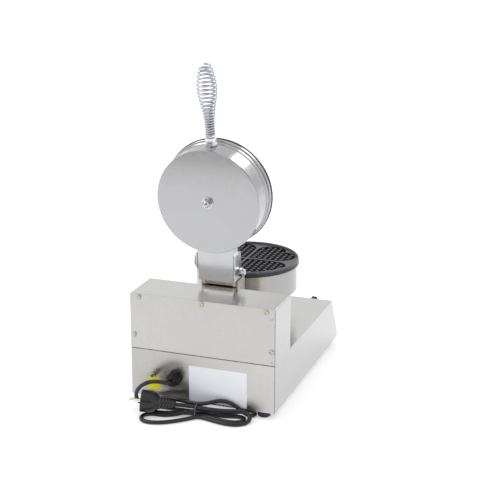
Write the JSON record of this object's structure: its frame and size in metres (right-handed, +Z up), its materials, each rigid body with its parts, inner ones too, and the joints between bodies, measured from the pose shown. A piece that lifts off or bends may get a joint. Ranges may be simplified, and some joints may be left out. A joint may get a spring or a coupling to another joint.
{
  "type": "waffle maker",
  "caption": "Countertop waffle maker with round heart-pattern plates in a steel drum and hinged lid, coil-spring handle, steel base with control slope and bundled mains lead.",
  "frame": {"origin": "on the surface that the rubber feet stand on, under the middle of the machine with its lid open, the mains lead left out", "axes": "+X to the right seen from the control front, +Y to the back where the mains lead leaves, +Z up; lid open as in the picture"},
  "size_m": [0.25, 0.4626, 0.5733],
  "materials": {
    "black_gloss": "glossy black plastic",
    "black_plastic": "moulded black plastic",
    "brass": "turned brass",
    "bronze": "sintered bronze",
    "cast_plate": "dark non-stick coated casting",
    "ceramic": "glazed ceramic",
    "copper": "copper tube",
    "cord_rubber": "rubber sheathed lead",
    "element": "oxidised heater sheath",
    "insulation": "ceramic fibre",
    "lamp": "translucent lens",
    "pale_plastic": "cream plastic",
    "rubber": "black rubber",
    "screw_yellow": "yellow passivated steel",
    "steel_bright": "bright stainless",
    "steel_brushed": "brushed stainless sheet, fine straight grain",
    "steel_zinc": "zinc plated steel",
    "white_label": "bare white plate",
    "wire": "sleeved wiring",
    "yellow_label": "bare yellow plate"
  },
  "bodies": {
    "base": {"base_housing": "steel_brushed", "back_panel": "steel_brushed", "bottom_plate": "steel_brushed", "bottom_plate_screws": "steel_zinc", "rubber_feet": "rubber", "foot_screws": "steel_zinc", "rear_box": "steel_brushed", "rear_cover": "steel_brushed", "rear_cover_screws": "screw_yellow", "gland_body": "black_plastic", "gland_cap": "black_plastic", "earth_stud": "brass", "earth_stud_nuts": "brass", "white_plate_blank": "white_label", "yellow_plate_blank": "yellow_label", "drum_pedestal": "steel_brushed", "drum_shell": "steel_brushed", "lower_heart_plate": "cast_plate", "lower_element": "element", "lower_element_clamp": "steel_zinc", "lower_plate_studs": "steel_zinc", "lower_insulation": "insulation", "hinge_post": "steel_brushed", "hinge_yoke": "steel_brushed", "open_stop_bumpers": "rubber", "yoke_screws": "steel_zinc", "hinge_bushes": "bronze", "terminal_block": "ceramic", "wiring_loom": "wire", "thermostat_capillary": "copper", "thermostat_body": "ceramic", "timer_body": "pale_plastic", "power_switch_body": "black_plastic", "indicator_lamps": "lamp", "mains_lead": "cord_rubber", "lead_hank": "cord_rubber", "plug_lead": "cord_rubber", "hank_tie": "steel_zinc", "plug_body": "black_plastic", "plug_pins": "pale_plastic"},
    "lid": {"hinge_pin": "steel_bright", "hinge_nut": "steel_bright", "lid_arm": "steel_brushed", "arm_side_plates": "steel_brushed", "lid_shell": "steel_brushed", "lid_cap": "steel_brushed", "cap_nut": "steel_bright", "lid_centre_stud": "steel_zinc", "upper_heart_plate": "cast_plate", "upper_element": "element", "upper_element_clamp": "steel_zinc", "upper_insulation": "insulation", "handle_stud": "steel_zinc", "handle_nuts": "steel_bright", "handle_ferrule": "steel_bright", "coil_grip": "steel_bright", "lid_heater_lead": "wire"},
    "thermostat_knob": {"thermostat_knob": "black_gloss"},
    "timer_knob": {"timer_knob": "black_gloss"},
    "rocker": {"power_rocker": "black_gloss"}
  },
  "joints": [
    {"name": "lid_hinge", "type": "hinge", "parent": "base", "child": "lid", "pos_m": [0, 0.09259, 0.2166], "axis": [1, 0, 0], "range_deg": [0, 95.9]},
    {"name": "thermostat_turn", "type": "hinge", "parent": "base", "child": "thermostat_knob", "pos_m": [-0.082, -0.17334, 0.05932], "axis": [0, -0.8796, 0.4758], "range_deg": [-270, 0]},
    {"name": "timer_turn", "type": "hinge", "parent": "base", "child": "timer_knob", "pos_m": [0.082, -0.17334, 0.05932], "axis": [0, -0.8796, 0.4758], "range_deg": [-300, 0]},
    {"name": "power_rock", "type": "hinge", "parent": "base", "child": "rocker", "pos_m": [0, -0.1707, 0.05789], "axis": [1, 0, 0], "range_deg": [0, 18]}
  ]
}
